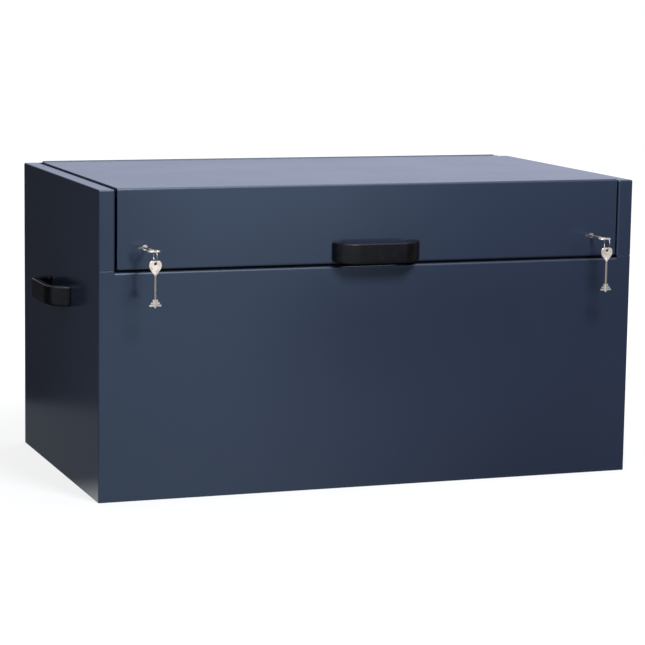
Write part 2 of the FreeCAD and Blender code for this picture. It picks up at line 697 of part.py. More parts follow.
def plain_key():
    """Double-bitted key with a shield-shaped bow, hanging down from the origin."""
    half, t = BOW_WIDTH / 2, KEY_THICKNESS / 2
    outline = [(-half + 4, 0), (half - 4, 0), (half, -4), (half, -16), (3, -BOW_HEIGHT),
               (-3, -BOW_HEIGHT), (-half, -16), (-half, -4)]
    bow = prism(outline, "XZ", -t, t)

    def across(middle, direction):
        return abs(direction.y) > 0.9 and middle.z > -20

    bow = rounded(bow, 3, across)
    bow = bow.cut(rod(Vector(0, -5, -BOW_HOLE_DOWN), Vector(0, 5, -BOW_HOLE_DOWN), BOW_HOLE_RADIUS))
    shank = rod(Vector(0, 0, -BOW_HEIGHT + 7), Vector(0, 0, -KEY_LENGTH), KEY_SHANK_RADIUS)
    end, steps = -KEY_LENGTH + BIT_END, ((0.0, 5.5), (4.6, 9.0), (9.2, BIT_WIDTH / 2))
    bits = [box(-w, w, -t, t, end + BIT_LENGTH - down, end) for down, w in steps]
    return joined([bow, shank] + bits)


KEY_TIP = FRONT + 22.8
KEY_END = KEY_TIP - KEY_LENGTH
RING_MEAN = 13.2
RING_WIRE = 0.9
RING_DROP = 8.9
RING_Y = KEY_END + BOW_HOLE_DOWN + 0.1 - math.sqrt(RING_MEAN ** 2 - RING_DROP ** 2)
RING_Z = LOCK_Z - RING_DROP


def lock_key():
    """Key pushed home in the lock, its bow lying flat."""
    key = turned(plain_key(), Vector(0, 0, 0), X_AXIS, 90)
    key.translate(Vector(LOCK_X, KEY_END, LOCK_Z))
    return key


def key_ring():
    """Wire ring through the bows of both keys."""
    return Part.makeTorus(RING_MEAN, RING_WIRE, Vector(LOCK_X, RING_Y, RING_Z), X_AXIS)


def spare_key():
    """Second key, hanging from the ring."""
    key = plain_key()
    hole_z = RING_Z - RING_MEAN - 1.9
    key.translate(Vector(LOCK_X, RING_Y, hole_z + BOW_HOLE_DOWN))
    return key


def handed(maker, name):
    """The right piece and its mirror image on the left, by name."""
    piece = maker()
    return {"right_" + name: piece, "left_" + name: mirrored(piece)}


def all_nodes():
    """Every piece of the chest by its name."""
    side = handle_holes(side_panel(), on_right)
    grip = bridge_handle()
    right_bolts = [on_right(piece) for piece in on_legs(handle_bolt)]
    right_washers = [on_right(piece) for piece in on_legs(handle_washer)]
    nodes = {
        "base_panel": base_panel(),
        "front_panel": front_panel(),
        "back_panel": back_panel(),
        "right_side_panel": side,
        "left_side_panel": mirrored(side),
        "front_rail": front_rail(),
        "lid_seal": lid_seal(),
        "hinge_body_leaf": hinge_body_leaf(),
        "hinge_lid_leaf": hinge_lid_leaf(),
        "hinge_pin": hinge_pin(),
        "lid_skin": handle_holes(lid_skin(), on_front),
        "lid_stiffeners": lid_stiffeners(),
        "front_handle": on_front(grip),
        "right_handle": on_right(grip),
        "left_handle": mirrored(on_right(grip)),
        "front_handle_bolts": Part.Compound([on_front(p) for p in on_legs(handle_bolt)]),
        "front_handle_washers": Part.Compound([on_front(p) for p in on_legs(handle_washer)]),
        "side_handle_bolts": Part.Compound(right_bolts + [mirrored(p) for p in right_bolts]),
        "side_handle_washers": Part.Compound(right_washers + [mirrored(p) for p in right_washers]),
    }
    pairs = {
        "rebate_ledge": rebate_ledge,
        "bolt_keep": bolt_keep,
        "lid_cheek": lid_cheek,
        "strut_wall_bracket": strut_wall_bracket,
        "strut_wall_stud": strut_wall_stud,
        "strut_lid_bracket": strut_lid_bracket,
        "strut_lid_stud": strut_lid_stud,
        "strut_cylinder": strut_cylinder,
        "strut_rod": strut_rod,
        "keyhole_plate": keyhole_plate,
        "lock_case": lock_case,
        "lock_nuts": lock_nuts,
        "lock_drum": lock_drum,
        "lock_levers": lock_levers,
        "lock_bolt": lock_bolt,
        "lock_key": lock_key,
        "key_ring": key_ring,
        "spare_key": spare_key,
    }
    for name, maker in pairs.items():
        nodes.update(handed(maker, name))
    return nodes


os.makedirs("parts", exist_ok=True)
for node, shape in all_nodes().items():
    shape.exportStep("parts/" + node + ".step")
    sound = shape.isValid() and all(solid.isClosed() for solid in shape.Solids)
    print(node, len(shape.Solids), "solids", round(shape.Volume / 1000, 1), "cm3", "ok" if sound else "BAD")
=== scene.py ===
"""Looks of a site security box: its finishes, moulded handles, keys, rings, camera and light.

Everything is in metres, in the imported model's own frame: X to the right, Y to the back, Z up.
The handles, keys and rings are drawn in millimetres and scaled when their meshes are made.
"""

import json
import logging
import math
from dataclasses import dataclass
from enum import Enum

import bmesh
import bpy
from mathutils import Matrix, Vector

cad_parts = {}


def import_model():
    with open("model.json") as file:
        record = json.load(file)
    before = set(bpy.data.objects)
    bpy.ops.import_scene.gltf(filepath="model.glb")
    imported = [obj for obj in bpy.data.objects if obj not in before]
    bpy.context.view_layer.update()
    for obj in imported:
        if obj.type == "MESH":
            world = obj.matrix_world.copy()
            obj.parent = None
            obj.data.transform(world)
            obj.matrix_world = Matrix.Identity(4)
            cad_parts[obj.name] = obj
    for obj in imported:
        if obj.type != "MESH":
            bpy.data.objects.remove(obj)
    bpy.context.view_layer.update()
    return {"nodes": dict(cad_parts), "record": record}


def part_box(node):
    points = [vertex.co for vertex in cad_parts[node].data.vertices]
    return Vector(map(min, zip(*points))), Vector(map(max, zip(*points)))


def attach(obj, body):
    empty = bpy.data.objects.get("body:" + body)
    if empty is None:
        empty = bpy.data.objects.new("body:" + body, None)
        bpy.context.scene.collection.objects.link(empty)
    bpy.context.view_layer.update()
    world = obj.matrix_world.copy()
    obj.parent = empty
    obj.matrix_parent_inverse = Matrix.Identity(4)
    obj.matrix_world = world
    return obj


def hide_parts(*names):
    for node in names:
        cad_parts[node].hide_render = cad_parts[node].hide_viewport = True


LOG = logging.getLogger("site_security_box")
MM = 0.001
Colour = tuple[float, float, float]
Point = tuple[float, float, float]
Corner = tuple[float, float]
Span = tuple[float, float]
Socket = bpy.types.NodeSocket

# The middle stretch of a noise, which a ramp spreads over its whole result
MIDDLE: Span = (0.3, 0.7)


class Slot(Enum):
    """Material slots of the record that pieces take their finish from."""

    PAINT = "slate_paint"
    PLASTIC = "handle_plastic"
    ZINC = "zinc_steel"
    LOCK = "lock_steel"
    KEY = "key_nickel"
    RING = "ring_steel"
    STRUT_TUBE = "strut_black"
    STRUT_ROD = "strut_chrome"
    SEAL = "seal_rubber"


class Side(Enum):
    """The chest's two sides, with the sign of X on each."""

    LEFT = -1
    RIGHT = 1

    @property
    def word(self) -> str:
        """Name of the side as node names spell it."""
        return self.name.lower()


class NodeGraph:
    """A node tree, with short calls for the nodes used here."""

    def __init__(self, tree: bpy.types.NodeTree, coordinate: str = "Object") -> None:
        """Takes a tree and the texture coordinate that its patterns lie on."""
        self.tree = tree
        self.place = self.add("ShaderNodeTexCoord").outputs[coordinate]

    def add(self, kind: str, **settings: object) -> bpy.types.Node:
        """Adds a node.

        Args:
            kind: The node's type name.
            settings: Properties of the node, or values of its input sockets.

        Returns:
            The new node.
        """
        node = self.tree.nodes.new(kind)
        for key, value in settings.items():
            if key in node.bl_rna.properties:
                setattr(node, key, value)
            else:
                node.inputs[key.replace("_", " ")].default_value = value
        return node

    def link(self, source: Socket, target: Socket) -> None:
        """Joins two sockets."""
        self.tree.links.new(source, target)

    def give(self, value: object, socket: Socket) -> None:
        """Gives an input socket its value.

        Args:
            value: A number, a colour or another socket.
            socket: The input that takes it.
        """
        if isinstance(value, Socket):
            self.link(value, socket)
        else:
            socket.default_value = (*value, 1.0) if isinstance(value, tuple) else value

    def noise(self, scale: float, detail: float = 2.0, rough: float = 0.5,
              stretch: Point = (1, 1, 1)) -> Socket:
        """Noise on the tree's coordinate.

        Args:
            scale: Cells per metre.
            detail: Octaves of finer noise.
            rough: Strength of the finer octaves.
            stretch: Scale along each axis, for streaks.

        Returns:
            The noise's factor socket.
        """
        mapping = self.add("ShaderNodeMapping")
        mapping.inputs["Scale"].default_value = stretch
        self.link(self.place, mapping.inputs["Vector"])
        node = self.add("ShaderNodeTexNoise", Scale=scale, Detail=detail, Roughness=rough)
        self.link(mapping.outputs["Vector"], node.inputs["Vector"])
        return node.outputs["Fac"]

    def ramp(self, source: Socket, span: Span, result: Span = (0.0, 1.0), smooth: bool = False) -> Socket:
        """Clamped mapping of a value.

        Args:
            source: The value's socket.
            span: Values that give the two ends of the result.
            result: The result's two ends.
            smooth: Whether the mapping eases in and out.

        Returns:
            The result's socket.
        """
        node = self.add("ShaderNodeMapRange", interpolation_type="SMOOTHSTEP" if smooth else "LINEAR")
        for name, value in zip(("From Min", "From Max", "To Min", "To Max"), (*span, *result)):
            node.inputs[name].default_value = value
        self.link(source, node.inputs["Value"])
        return node.outputs["Result"]

    def axes(self) -> dict[str, Socket]:
        """Splits the tree's coordinate.

        Returns:
            Its sockets under the letters X, Y and Z.
        """
        split = self.add("ShaderNodeSeparateXYZ")
        self.link(self.place, split.inputs[0])
        return {name: split.outputs[name] for name in "XYZ"}

    def distance(self) -> Socket:
        """Distance of the tree's coordinate from the origin.

        Returns:
            The distance's socket.
        """
        length = self.add("ShaderNodeVectorMath", operation="LENGTH")
        self.link(self.place, length.inputs[0])
        return length.outputs["Value"]

    def math(self, operation: str, first: object, second: object) -> Socket:
        """One sum of two values.

        Args:
            operation: Name of the Math node's operation.
            first: Its first value, as a number or a socket.
            second: Its second value, likewise.

        Returns:
            The result's socket.
        """
        node = self.add("ShaderNodeMath", operation=operation)
        for value, socket in zip((first, second), node.inputs):
            self.give(value, socket)
        return node.outputs[0]

    def mix(self, factor: Socket, first: object, second: object) -> Socket:
        """Mixes two colours, each given as a colour or a socket.

        Args:
            factor: Socket of the share of the second colour.
            first: Colour at factor 0.
            second: Colour at factor 1.

        Returns:
            The mixed colour's socket.
        """
        node = self.add("ShaderNodeMix", data_type="RGBA")
        self.link(factor, node.inputs["Factor"])
        for value, socket in ((first, node.inputs[6]), (second, node.inputs[7])):
            self.give(value, socket)
        return node.outputs[2]

    def bump(self, height: Socket, distance: float, under: Socket | None = None) -> Socket:
        """Bump from a height.

        Args:
            height: Socket of the height, from 0 to 1.
            distance: Real height of 1, in metres.
            under: Normal of a coarser bump below this one.

        Returns:
            The bumped normal's socket.
        """
        node = self.add("ShaderNodeBump", Strength=1.0, Distance=distance)
        self.link(height, node.inputs["Height"])
        if under is not None:
            self.link(under, node.inputs["Normal"])
        return node.outputs["Normal"]

    def edge(self, radius: float, lean: Span = (0.995, 0.80)) -> Socket:
        """Mask of the rims and folds, from how a rounded normal leans off the true one.

        Args:
            radius: How far from an edge the mask reaches, in metres.
            lean: Cosines of the leans at which the mask starts and is full.

        Returns:
            Socket that is 0 on flats and rises to 1 on edges.
        """
        bevel = self.add("ShaderNodeBevel", samples=4, Radius=radius)
        true = self.add("ShaderNodeNewGeometry").outputs["Normal"]
        dot = self.add("ShaderNodeVectorMath", operation="DOT_PRODUCT")
        self.link(bevel.outputs["Normal"], dot.inputs[0])
        self.link(true, dot.inputs[1])
        return self.ramp(dot.outputs["Value"], lean)


class FinishGraph(NodeGraph):
    """The node tree of a finish, round one Principled shader."""

    def __init__(self, name: str) -> None:
        """Makes an empty material of that name."""
        self.material = bpy.data.materials.new(name)
        self.material.use_nodes = True
        super().__init__(self.material.node_tree)
        self.shader = self.tree.nodes["Principled BSDF"]

    def set(self, **values: object) -> None:
        """Sets the shader's own sockets by name, with underscores for spaces."""
        for name, value in values.items():
            self.shader.inputs[name.replace("_", " ")].default_value = value

    def feed(self, name: str, source: Socket) -> None:
        """Links a socket to the shader's named input."""
        self.link(source, self.shader.inputs[name])


@dataclass(frozen=True)
class PowderCoat:
    """Gloss powder coat with fine orange peel, soft ripples of the sheet and lighter edges."""

    colour: Colour = (0.0229, 0.0314, 0.0565)
    edge_colour: Colour = (0.070, 0.082, 0.110)
    edge_reach: float = 1.2 * MM
    gloss_tint: Colour = (0.53, 0.74, 1.0)
    roughness: Span = (0.16, 0.20)
    cloud_scale: float = 2.2
    cloud_shades: Span = (0.94, 1.06)
    smear_scale: float = 5.0
    smear_stretch: Point = (1.0, 1.0, 0.35)
    smear_span: Span = (0.3, 0.75)
    ripple_scale: float = 2.6
    ripple_height: float = 0.25 * MM
    peel_scale: float = 520.0
    peel_height: float = 0.010 * MM

    def material(self) -> bpy.types.Material:
        """Builds the finish.

        Returns:
            The material.
        """
        graph = FinishGraph("slate_powder_coat")
        graph.set(IOR=1.5, Specular_IOR_Level=0.5, Specular_Tint=(*self.gloss_tint, 1.0))
        cloud = graph.ramp(graph.noise(self.cloud_scale, 3), MIDDLE)
        dark, light = (tuple(shade * c for c in self.colour) for shade in self.cloud_shades)
        coat = graph.mix(cloud, dark, light)
        graph.feed("Base Color", graph.mix(graph.edge(self.edge_reach), coat, self.edge_colour))
        smears = graph.noise(self.smear_scale, 5, 0.6, self.smear_stretch)
        graph.feed("Roughness", graph.ramp(smears, self.smear_span, self.roughness))
        ripples = graph.bump(graph.noise(self.ripple_scale, 0), self.ripple_height)
        graph.feed("Normal", graph.bump(graph.noise(self.peel_scale, 1), self.peel_height, ripples))
        return graph.material


@dataclass(frozen=True)
class MouldedPlastic:
    """Satin black nylon with a fine spark-eroded grain and rubbed patches."""

    colour: Colour = (0.0036, 0.0036, 0.0042)
    rubbed: Colour = (0.0070, 0.0070, 0.0078)
    rub_scale: float = 38.0
    rub_span: Span = (0.45, 0.8)
    rub_share: Span = (0.0, 0.6)
    gloss_level: float = 0.17
    gloss_tint: Colour = (0.78, 0.84, 1.0)
    gloss_scale: float = 60.0
    roughness: Span = (0.20, 0.32)
    grain_scale: float = 1900.0
    grain_height: float = 0.012 * MM

    def material(self) -> bpy.types.Material:
        """Builds the finish.

        Returns:
            The material.
        """
        graph = FinishGraph("black_moulded_nylon")
        graph.set(IOR=1.5, Specular_IOR_Level=self.gloss_level, Specular_Tint=(*self.gloss_tint, 1.0))
        worn = graph.ramp(graph.noise(self.rub_scale, 4), self.rub_span, self.rub_share)
        graph.feed("Base Color", graph.mix(worn, self.colour, self.rubbed))
        graph.feed("Roughness", graph.ramp(graph.noise(self.gloss_scale, 3), MIDDLE, self.roughness))
        graph.feed("Normal", graph.bump(graph.noise(self.grain_scale, 1), self.grain_height))
        return graph.material


@dataclass(frozen=True)
class Metal:
    """Bare or plated metal with stains, brushed streaks and cloudy roughness."""

    name: str
    colour: Colour
    stain: Colour
    roughness: Span = (0.18, 0.34)
    stain_scale: float = 55.0
    stain_span: Span = (0.42, 0.72)
    gloss_scale: float = 140.0
    grain_scale: float = 900.0
    grain_stretch: Point = (1.0, 1.0, 1.0)
    grain_height: float = 0.008 * MM

    def material(self) -> bpy.types.Material:
        """Builds the finish.

        Returns:
            The material.
        """
        graph = FinishGraph(self.name)
        graph.set(Metallic=1.0)
        stains = graph.ramp(graph.noise(self.stain_scale, 5, 0.6), self.stain_span)
        graph.feed("Base Color", graph.mix(stains, self.colour, self.stain))
        graph.feed("Roughness", graph.ramp(graph.noise(self.gloss_scale, 3), MIDDLE, self.roughness))
        grain = graph.noise(self.grain_scale, 2, 0.5, self.grain_stretch)
        graph.feed("Normal", graph.bump(grain, self.grain_height))
        return graph.material


@dataclass(frozen=True)
class KeyPlate:
    """Nickel plate on brass: bright on the handled bow; the shank painted far darker, as painted shade for
    the dark room that its round face mirrors; a middle tone on the bits.

    A point's depth is its share of the key's length from the bow's top.
    """

    bow: Colour = (0.76, 0.70, 0.64)
    rubbed: Colour = (0.54, 0.46, 0.38)
    rub_scale: float = 110.0
    rub_span: Span = (0.42, 0.66)
    # Painted shade: the shank's far darker tone stands for the dark room that its round face mirrors.
    shank: Colour = (0.235, 0.225, 0.205)
    shank_start: Span = (0.27, 0.33)
    bits: Colour = (0.46, 0.44, 0.40)
    bits_start: Span = (0.80, 0.84)
    metallic: float = 0.5
    gloss_scale: float = 140.0
    roughness: Span = (0.26, 0.40)
    grain_scale: float = 900.0
    grain_height: float = 0.008 * MM
    depth_name: str = "key_depth"

    def material(self) -> bpy.types.Material:
        """Builds the finish, from how far down the key a point lies.

        Returns:
            The material.
        """
        graph = FinishGraph("nickel_on_brass")
        graph.set(Metallic=self.metallic)
        depth = graph.add("ShaderNodeAttribute", attribute_name=self.depth_name).outputs["Fac"]
        rubs = graph.ramp(graph.noise(self.rub_scale, 5, 0.6), self.rub_span)
        bow = graph.mix(rubs, self.bow, self.rubbed)
        # Painted shade: the key darkens to the shank's tone from shank_start on.
        shank_shaded = graph.mix(graph.ramp(depth, self.shank_start, smooth=True), bow, self.shank)
        # Middle tone on the bits, from bits_start on.
        worn = graph.mix(graph.ramp(depth, self.bits_start, smooth=True), shank_shaded, self.bits)
        graph.feed("Base Color", worn)
        graph.feed("Roughness", graph.ramp(graph.noise(self.gloss_scale, 3), MIDDLE, self.roughness))
        graph.feed("Normal", graph.bump(graph.noise(self.grain_scale, 2), self.grain_height))
        return graph.material


@dataclass(frozen=True)
class StrutEnamel:
    """Semi-gloss black enamel of the gas struts' tubes, a little dusty."""

    colour: Colour = (0.010, 0.010, 0.011)
    dust: Colour = (0.035, 0.034, 0.032)
    dust_scale: float = 45.0
    dust_span: Span = (0.5, 0.85)
    dust_share: Span = (0.0, 0.5)
    gloss_scale: float = 80.0
    roughness: Span = (0.22, 0.36)
    grain_scale: float = 700.0
    grain_height: float = 0.010 * MM

    def material(self) -> bpy.types.Material:
        """Builds the finish.

        Returns:
            The material.
        """
        graph = FinishGraph("strut_enamel")
        graph.set(IOR=1.5)
        dusty = graph.ramp(graph.noise(self.dust_scale, 4), self.dust_span, self.dust_share)
        graph.feed("Base Color", graph.mix(dusty, self.colour, self.dust))
        graph.feed("Roughness", graph.ramp(graph.noise(self.gloss_scale, 3), MIDDLE, self.roughness))
        graph.feed("Normal", graph.bump(graph.noise(self.grain_scale, 1), self.grain_height))
        return graph.material


@dataclass(frozen=True)
class FoamRubber:
    """Closed-cell black foam of the lid's seal, darker than foam is: painted shade for the gap round the lid,
    where the lamps reach it.
    """

    # Near-black beyond real foam: painted shade in the gap round the lid.
    colour: Colour = (0.0035, 0.0035, 0.0035)
    cell_colour: Colour = (0.008, 0.008, 0.008)
    cell_scale: float = 900.0
    cell_height: float = 0.15 * MM

    def material(self) -> bpy.types.Material:
        """Builds the finish.

        Returns:
            The material.
        """
        graph = FinishGraph("black_foam_gap_shade")
        graph.set(Roughness=0.9, IOR=1.45, Specular_IOR_Level=0.08)
        cells = graph.add("ShaderNodeTexVoronoi", Scale=self.cell_scale)
        graph.link(graph.place, cells.inputs["Vector"])
        graph.feed("Base Color", graph.mix(cells.outputs["Distance"], self.colour, self.cell_colour))
        graph.feed("Normal", graph.bump(cells.outputs["Distance"], self.cell_height))
        return graph.material


def make_finishes() -> dict[Slot, bpy.types.Material]:
    """Builds the finishes.

    Returns:
        One material for each slot of the record.
    """
    finishes = {
        Slot.PAINT: PowderCoat(),
        Slot.PLASTIC: MouldedPlastic(),
        Slot.ZINC: Metal("bright_zinc", (0.62, 0.63, 0.65), (0.50, 0.50, 0.49)),
        Slot.LOCK: Metal("ground_lock_steel", (0.42, 0.42, 0.42), (0.30, 0.29, 0.28),
                         grain_stretch=(1.0, 1.0, 14.0)),
        Slot.KEY: KeyPlate(),
        Slot.RING: Metal("ring_wire", (0.30, 0.30, 0.32), (0.22, 0.22, 0.23), (0.16, 0.26)),
        Slot.STRUT_TUBE: StrutEnamel(),
        Slot.STRUT_ROD: Metal("hard_chrome", (0.62, 0.63, 0.64), (0.56, 0.57, 0.58), (0.04, 0.10)),
        Slot.SEAL: FoamRubber(),
    }
    return {slot: finish.material() for slot, finish in finishes.items()}


class Solid:
    """A bmesh in millimetres, with short calls for the operators used here."""

    # Distances under which places count as one: for picking edges, and for merging corners
    near = 0.01
    merged = 0.001

    def __init__(self) -> None:
        """Starts with an empty mesh."""
        self.bm = bmesh.new()

    def outline(self, points: list[Corner], radii: dict[int, float] | None = None, segments: int = 6) -> None:
        """Draws a flat face in the XZ plane and rounds its corners.

        Args:
            points: Corners as (x, z).
            radii: Rounding of each named corner.
            segments: Edges in each rounded corner.
        """
        corners = [self.bm.verts.new((x, 0.0, z)) for x, z in points]
        self.bm.faces.new(corners)
        for index, radius in (radii or {}).items():
            bmesh.ops.bevel(self.bm, geom=[corners[index]], offset=radius, segments=segments, profile=0.5,
                            affect="VERTICES", material=-1)

    def pierce(self, x: float, z: float, radius: float, sides: int = 28) -> None:
        """Cuts a round hole in the flat face drawn so far.

        Args:
            x: Place of the hole's centre along X.
            z: Place of the hole's centre along Z.
            radius: Radius of the hole.
            sides: Edges round the hole.
        """
        bmesh.ops.delete(self.bm, geom=self.bm.faces[:], context="FACES_ONLY")
        turn = Matrix.Translation((x, 0.0, z)) @ Matrix.Rotation(math.radians(90), 4, "X")
        bmesh.ops.create_circle(self.bm, segments=sides, radius=radius, matrix=turn)
        bmesh.ops.triangle_fill(self.bm, edges=self.bm.edges[:], use_beauty=True)

    def thicken(self, thickness: float) -> None:
        """Pulls the flat face into a plate.

        Args:
            thickness: The plate's thickness, half of it on each side of the face.
        """
        bmesh.ops.translate(self.bm, verts=self.bm.verts[:], vec=(0.0, -thickness / 2, 0.0))
        made = bmesh.ops.extrude_face_region(self.bm, geom=self.bm.faces[:])
        fresh = [v for v in made["geom"] if isinstance(v, bmesh.types.BMVert)]
        bmesh.ops.translate(self.bm, verts=fresh, vec=(0.0, thickness, 0.0))
        bmesh.ops.recalc_face_normals(self.bm, faces=self.bm.faces[:])

    def soften(self, offset: float, segments: int = 2, sharp: float = 50.0) -> None:
        """Rounds the solid's sharp edges.

        Args:
            offset: Width of each rounding.
            segments: Faces across each rounding.
            sharp: Least angle of an edge that is rounded, in degrees.
        """
        edges = [e for e in self.bm.edges if len(e.link_faces) == 2 and
                 e.calc_face_angle(0.0) > math.radians(sharp)]
        self.round_edges(edges, offset, segments)

    def round_rim(self, level: float, radius: float, segments: int = 5) -> None:
        """Rounds the edges of one side face, apart from those on the foot plane Z = 0.

        Args:
            level: Y of the side face.
            radius: Width of the rounding.
            segments: Faces across the rounding.
        """
        rims = [e for e in self.bm.edges
                if all(abs(v.co.y - level) < self.near for v in e.verts)
                and not all(abs(v.co.z) < self.near for v in e.verts)]
        self.round_edges(rims, radius, segments)

    def round_edges(self, edges: list[bmesh.types.BMEdge], radius: float, segments: int) -> None:
        """Rounds edges, as far as there is room.

        Args:
            edges: The edges to round.
            radius: Width of each rounding.
            segments: Faces across each rounding.
        """
        bmesh.ops.bevel(self.bm, geom=edges, offset=radius, segments=segments, profile=0.5,
                        affect="EDGES", material=-1, clamp_overlap=True)

    def stepped_rod(self, steps: list[Corner], sides: int = 28) -> None:
        """Turns a rod about the Z axis from a profile.

        Args:
            steps: Profile as (radius, z), from one end to the other.
            sides: Faces round the rod.
        """
        verts = [self.bm.verts.new((radius, 0.0, z)) for radius, z in steps]
        edges = [self.bm.edges.new(pair) for pair in zip(verts, verts[1:])]
        bmesh.ops.spin(self.bm, geom=verts + edges, cent=(0, 0, 0), axis=(0, 0, 1), dvec=(0, 0, 0),
                       angle=2 * math.pi, steps=sides, use_merge=True, use_duplicate=False)
        bmesh.ops.remove_doubles(self.bm, verts=self.bm.verts[:], dist=self.merged)
        bmesh.ops.recalc_face_normals(self.bm, faces=self.bm.faces[:])

    def coil(self, mean: float, wire: float, pitch: float, turns: int, wire_sides: int = 12,
             turn_steps: int = 64) -> None:
        """Winds round wire about the X axis, centred on the origin, and closes its ends.

        Args:
            mean: Radius of the winding to the wire's middle.
            wire: Radius of the wire.
            pitch: Step along the axis for each turn.
            turns: Number of whole turns.
            wire_sides: Faces round the wire.
            turn_steps: Faces along each turn.
        """
        quarter = math.radians(90)
        place = (Matrix.Translation((-pitch * turns / 2, 0.0, mean)) @ Matrix.Rotation(quarter, 4, "Y")
                 @ Matrix.Rotation(quarter, 4, "X"))
        made = bmesh.ops.create_circle(self.bm, cap_ends=False, segments=wire_sides, radius=wire,
                                       matrix=place)
        first = list({e for v in made["verts"] for e in v.link_edges})
        steps = turn_steps * turns
        spun = bmesh.ops.spin(self.bm, geom=made["verts"] + first, cent=(0, 0, 0), axis=(1, 0, 0),
                              dvec=(pitch * turns / steps, 0, 0), angle=2 * math.pi * turns, steps=steps,
                              use_duplicate=False)
        last = [e for e in spun["geom_last"] if isinstance(e, bmesh.types.BMEdge)]
        for loop in (first, last):
            bmesh.ops.contextual_create(self.bm, geom=loop)

    def mesh(self, name: str, place: Matrix) -> bpy.types.Mesh:
        """Ends the bmesh as a mesh in metres.

        Args:
            name: Name of the mesh.
            place: Where the solid goes, in millimetres.

        Returns:
            The new mesh, with its faces pointing out.
        """
        bmesh.ops.transform(self.bm, matrix=Matrix.Scale(MM, 4) @ place, verts=self.bm.verts[:])
        bmesh.ops.recalc_face_normals(self.bm, faces=self.bm.faces[:])
        for face in self.bm.faces:
            face.smooth = True
        mesh = bpy.data.meshes.new(name)
        self.bm.to_mesh(mesh)
        self.bm.free()
        return mesh


def piece(name: str, mesh: bpy.types.Mesh, finish: bpy.types.Material, body: str,
          node: str) -> bpy.types.Object:
    """Puts a finished mesh in the scene in place of a node of the frame.

    Args:
        name: Name of the piece.
        mesh: Its mesh, in place and in metres.
        finish: Its material.
        body: Body that carries it.
        node: Node of the frame that it stands for.

    Returns:
        The new object.
    """
    made = bpy.data.objects.new(name, mesh)
    bpy.context.scene.collection.objects.link(made)
    mesh.materials.clear()
    mesh.materials.append(finish)
    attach(made, body)
    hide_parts(node)
    LOG.info("%s stands for %s and rides on %s, %d faces", name, node, body, len(mesh.polygons))
    return made


def weigh_normals(made: bpy.types.Object) -> None:
    """Shades a piece's roundings so that its large faces look flat."""
    made.modifiers.new("weighted", "WEIGHTED_NORMAL").keep_sharp = False


def united(name: str, meshes: list[bpy.types.Mesh]) -> bpy.types.Mesh:
    """Fuses closed meshes into one closed mesh.

    Args:
        name: Name of the result.
        meshes: The meshes, which overlap each other.

    Returns:
        Their union, shaded smooth.
    """
    parts = [bpy.data.objects.new(f"{name}_{i}", mesh) for i, mesh in enumerate(meshes)]
    for part in parts:
        bpy.context.scene.collection.objects.link(part)
    for part in parts[1:]:
        fuse = parts[0].modifiers.new("fuse", "BOOLEAN")
        fuse.operation, fuse.solver, fuse.object = "UNION", "EXACT", part
    bpy.context.view_layer.update()
    fused = bpy.data.meshes.new_from_object(parts[0].evaluated_get(bpy.context.evaluated_depsgraph_get()))
    for part in parts:
        bpy.data.objects.remove(part)
    for face in fused.polygons:
        face.use_smooth = True
    return fused


def spot(node: str) -> tuple[Vector, Vector, Vector]:
    """Lowest corner, middle and highest corner of a frame node's box, in millimetres."""
    low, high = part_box(node)
    return low / MM, (low + high) / 2 / MM, high / MM


@dataclass
class BridgeHandle:
    """Moulded bridge handle on two wide legs; sizes in millimetres, standing out towards -Y.

    Its roundings are named from the wall outwards: heel and foot at the wall, hollow and crown at the grip.
    """

    name: str
    body: str
    place: Matrix
    finish: bpy.types.Material
    length: float = 194.0
    grip: float = 150.0
    height: float = 44.0
    reach: float = 48.0
    leg: float = 27.0
    thick: float = 16.0
    foot_rise: float = 11.0
    heel_rise: float = 9.0
    grip_inset: float = 15.0
    crown_round: float = 24.0
    hollow_round: float = 11.0
    foot_round: float = 10.0
    heel_round: float = 5.0
    top_rim: float = 4.0
    low_rim: float = 8.0

    def profile(self) -> tuple[list[Corner], dict[int, float]]:
        """Outline seen along the handle's height.

        Returns:
            Its corners as (x, z), and the rounding of each rounded corner.
        """
        foot, grip, wrist = self.length / 2, self.grip / 2, self.reach - self.thick
        right = [(foot, 0.0), (foot, self.foot_rise), (grip, self.reach)]
        inner = [(grip - self.grip_inset, wrist), (foot - self.leg, self.heel_rise), (foot - self.leg, 0.0)]
        points = [(-x, z) for x, z in right] + right[::-1] + inner[::-1] + [(-x, z) for x, z in inner]
        rounded = ((self.crown_round, (2, 3)), (self.foot_round, (1, 4)),
                   (self.hollow_round, (8, 9)), (self.heel_round, (7, 10)))
        return points, {corner: radius for radius, corners in rounded for corner in corners}

    def build(self) -> bpy.types.Object:
        """Moulds the handle and puts it in place.

        Returns:
            The handle's object.
        """
        solid = Solid()
        solid.outline(*self.profile())
        solid.thicken(self.height)
        solid.round_rim(self.height / 2, self.top_rim)
        solid.round_rim(-self.height / 2, self.low_rim)
        upright = Matrix(((1, 0, 0, 0), (0, 0, -1, 0), (0, 1, 0, 0), (0, 0, 0, 1)))
        mesh = solid.mesh(self.name, self.place @ upright)
        made = piece(self.name + "_moulding", mesh, self.finish, self.body, self.name)
        weigh_normals(made)
        return made


